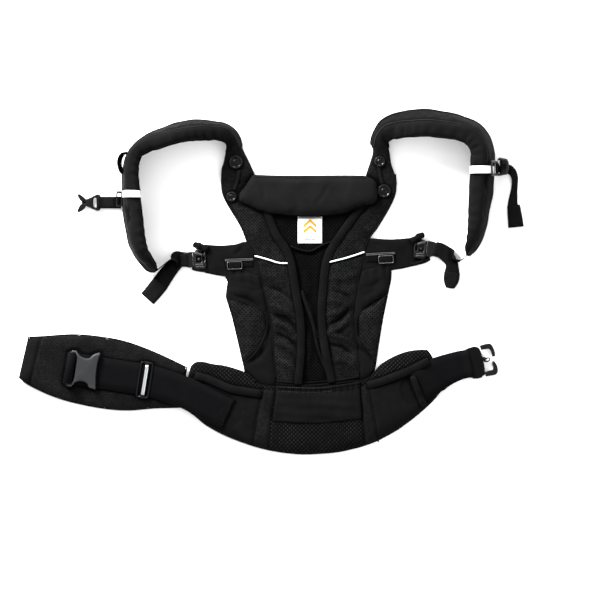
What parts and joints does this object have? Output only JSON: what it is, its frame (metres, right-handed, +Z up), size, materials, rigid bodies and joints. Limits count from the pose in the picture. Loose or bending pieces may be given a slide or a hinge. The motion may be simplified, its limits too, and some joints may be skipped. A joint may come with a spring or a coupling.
{
  "type": "soft baby carrier",
  "caption": "Soft structured baby carrier laid flat and unbuckled: padded belt, front panel, fold-down head support, standing shoulder straps and side-release buckles.",
  "frame": {"origin": "on the table under the middle of the whole laid-out carrier", "axes": "+Z up from the table, +X along the waist belt towards the end with the open buckle frame, +Y from the belt towards the shoulder straps"},
  "size_m": [0.8075, 0.5503, 0.068],
  "materials": {
    "shell_fabric": "plain woven nylon, matt, near black",
    "mesh_fabric": "three-layer spacer mesh with rows of small holes, near black",
    "webbing": "flat woven nylon webbing with a fine rib",
    "foam": "soft closed-cell foam core",
    "black_plastic": "moulded acetal, fine satin",
    "gray_plastic": "moulded acetal, fine satin, mid gray",
    "dark_metal": "bright satin metal",
    "reflective_tape": "reflective white tape",
    "label_fabric": null
  },
  "bodies": {
    "carrier": {"belt_cover": "shell_fabric", "belt_foam": "foam", "belt_facing": "mesh_fabric", "belt_pocket_panel": "shell_fabric", "waist_webbing_anchor": "webbing", "front_panel_base": "shell_fabric", "front_mesh_left": "mesh_fabric", "front_mesh_right": "mesh_fabric", "center_mesh": "mesh_fabric", "woven_label": "label_fabric", "side_panel_left": "mesh_fabric", "side_panel_right": "mesh_fabric", "wing_left": "shell_fabric", "wing_right": "shell_fabric", "yoke_left": "shell_fabric", "yoke_right": "shell_fabric", "button_upper_left": "black_plastic", "button_lower_left": "black_plastic", "button_upper_right": "black_plastic", "button_lower_right": "black_plastic", "seat_track_left": "webbing", "seat_track_right": "webbing", "side_buckle_socket_left": "black_plastic", "side_buckle_socket_right": "black_plastic", "side_buckle_tongue_left": "black_plastic", "side_buckle_tongue_right": "black_plastic"},
    "head_support": {"head_support_cover": "shell_fabric", "head_support_foam": "foam"},
    "strap_left": {"strap_cover_left": "mesh_fabric", "strap_foam_left": "foam", "strap_webbing_left": "webbing"},
    "strap_right": {"strap_cover_right": "mesh_fabric", "strap_foam_right": "foam", "strap_webbing_right": "webbing"},
    "chest_left": {"chest_band_left": "reflective_tape", "chest_webbing_left": "webbing", "chest_buckle_male": "black_plastic"},
    "chest_prong_a": {"chest_prong_upper": "black_plastic"},
    "chest_prong_b": {"chest_prong_lower": "black_plastic"},
    "chest_right": {"chest_band_right": "reflective_tape", "chest_buckle_female": "black_plastic", "chest_webbing_right": "webbing"},
    "waist_left": {"waist_webbing_left": "webbing"},
    "lumbar_pad": {"lumbar_cover": "mesh_fabric", "lumbar_foam": "foam", "lumbar_facing": "mesh_fabric"},
    "triglide": {"waist_triglide": "dark_metal"},
    "waist_socket": {"waist_buckle_female": "gray_plastic"},
    "waist_right": {"waist_webbing_right": "webbing", "waist_buckle_male": "black_plastic"},
    "waist_prong_a": {"waist_prong_upper": "black_plastic"},
    "waist_prong_b": {"waist_prong_lower": "black_plastic"},
    "seat_slider_l": {"seat_slider_left": "dark_metal"},
    "seat_slider_r": {"seat_slider_right": "dark_metal"},
    "side_prong_left_a": {"side_buckle_prong_front_left": "black_plastic"},
    "side_prong_left_b": {"side_buckle_prong_back_left": "black_plastic"},
    "side_prong_right_a": {"side_buckle_prong_front_right": "black_plastic"},
    "side_prong_right_b": {"side_buckle_prong_back_right": "black_plastic"}
  },
  "joints": [
    {"name": "head_support_fold", "type": "hinge", "parent": "carrier", "child": "head_support", "pos_m": [0.061, 0.1696, 0.013], "axis": [-1, 0, 0], "range_deg": [0, 150]},
    {"name": "strap_left_swing", "type": "hinge", "parent": "carrier", "child": "strap_left", "pos_m": [-0.141, 0.034, 0.011], "axis": [0.3286, 0.9443, -0.0185], "range_deg": [0, 75]},
    {"name": "strap_right_swing", "type": "hinge", "parent": "carrier", "child": "strap_right", "pos_m": [0.264, 0.052, 0.011], "axis": [0.3828, -0.9236, 0.0191], "range_deg": [0, 75]},
    {"name": "chest_left_slide", "type": "slide", "parent": "strap_left", "child": "chest_left", "axis": [0.1044, -0.9945, 0], "range_m": [-0.02, 0.02]},
    {"name": "chest_right_slide", "type": "slide", "parent": "strap_right", "child": "chest_right", "axis": [-0.0499, -0.9988, 0], "range_m": [-0.018, 0.018]},
    {"name": "chest_prong_upper_press", "type": "slide", "parent": "chest_left", "child": "chest_prong_a", "axis": [0, -1, 0], "range_m": [0, 0.0012], "stiffness_N_per_m": 300},
    {"name": "chest_prong_lower_press", "type": "slide", "parent": "chest_left", "child": "chest_prong_b", "axis": [0, 1, 0], "range_m": [0, 0.0012], "stiffness_N_per_m": 300},
    {"name": "waist_left_fold", "type": "hinge", "parent": "carrier", "child": "waist_left", "pos_m": [-0.1335, -0.136, 0.0162], "axis": [0.1521, 0.9884, 0], "range_deg": [0, 120]},
    {"name": "lumbar_pad_slide", "type": "slide", "parent": "waist_left", "child": "lumbar_pad", "axis": [-0.9877, 0.1564, 0], "range_m": [0, 0.04]},
    {"name": "triglide_slide", "type": "slide", "parent": "waist_left", "child": "triglide", "axis": [-0.9877, 0.1564, 0], "range_m": [0, 0.05]},
    {"name": "waist_socket_flip", "type": "hinge", "parent": "waist_left", "child": "waist_socket", "pos_m": [-0.322, -0.138, 0.02125], "axis": [-0.1564, -0.9877, 0], "range_deg": [0, 170]},
    {"name": "waist_right_fold", "type": "hinge", "parent": "carrier", "child": "waist_right", "pos_m": [0.2568, -0.118, 0.0162], "axis": [0.2703, -0.9628, 0], "range_deg": [0, 120]},
    {"name": "waist_prong_upper_press", "type": "slide", "parent": "waist_right", "child": "waist_prong_a", "axis": [0.2079, -0.9781, 0], "range_m": [0, 0.003], "stiffness_N_per_m": 300},
    {"name": "waist_prong_lower_press", "type": "slide", "parent": "waist_right", "child": "waist_prong_b", "axis": [-0.2079, 0.9781, 0], "range_m": [0, 0.003], "stiffness_N_per_m": 300},
    {"name": "seat_slider_left_slide", "type": "slide", "parent": "carrier", "child": "seat_slider_l", "axis": [0.9994, 0.0349, 0], "range_m": [-0.003, 0.018]},
    {"name": "seat_slider_right_slide", "type": "slide", "parent": "carrier", "child": "seat_slider_r", "axis": [-0.9986, -0.0523, 0], "range_m": [-0.003, 0.018]},
    {"name": "side_prong_left_front_press", "type": "slide", "parent": "carrier", "child": "side_prong_left_a", "axis": [-0.0872, 0.9962, 0], "range_m": [0, 0.0022], "stiffness_N_per_m": 300},
    {"name": "side_prong_left_back_press", "type": "slide", "parent": "carrier", "child": "side_prong_left_b", "axis": [0.0872, -0.9962, 0], "range_m": [0, 0.0022], "stiffness_N_per_m": 300},
    {"name": "side_prong_right_front_press", "type": "slide", "parent": "carrier", "child": "side_prong_right_a", "axis": [0.1736, -0.9848, 0], "range_m": [0, 0.0022], "stiffness_N_per_m": 300},
    {"name": "side_prong_right_back_press", "type": "slide", "parent": "carrier", "child": "side_prong_right_b", "axis": [-0.1736, 0.9848, 0], "range_m": [0, 0.0022], "stiffness_N_per_m": 300}
  ],
  "couplings": [
    {"joint": "chest_prong_lower_press", "follows": "chest_prong_upper_press", "ratio": 1},
    {"joint": "waist_prong_lower_press", "follows": "waist_prong_upper_press", "ratio": 1},
    {"joint": "side_prong_left_back_press", "follows": "side_prong_left_front_press", "ratio": 1},
    {"joint": "side_prong_right_back_press", "follows": "side_prong_right_front_press", "ratio": 1}
  ]
}
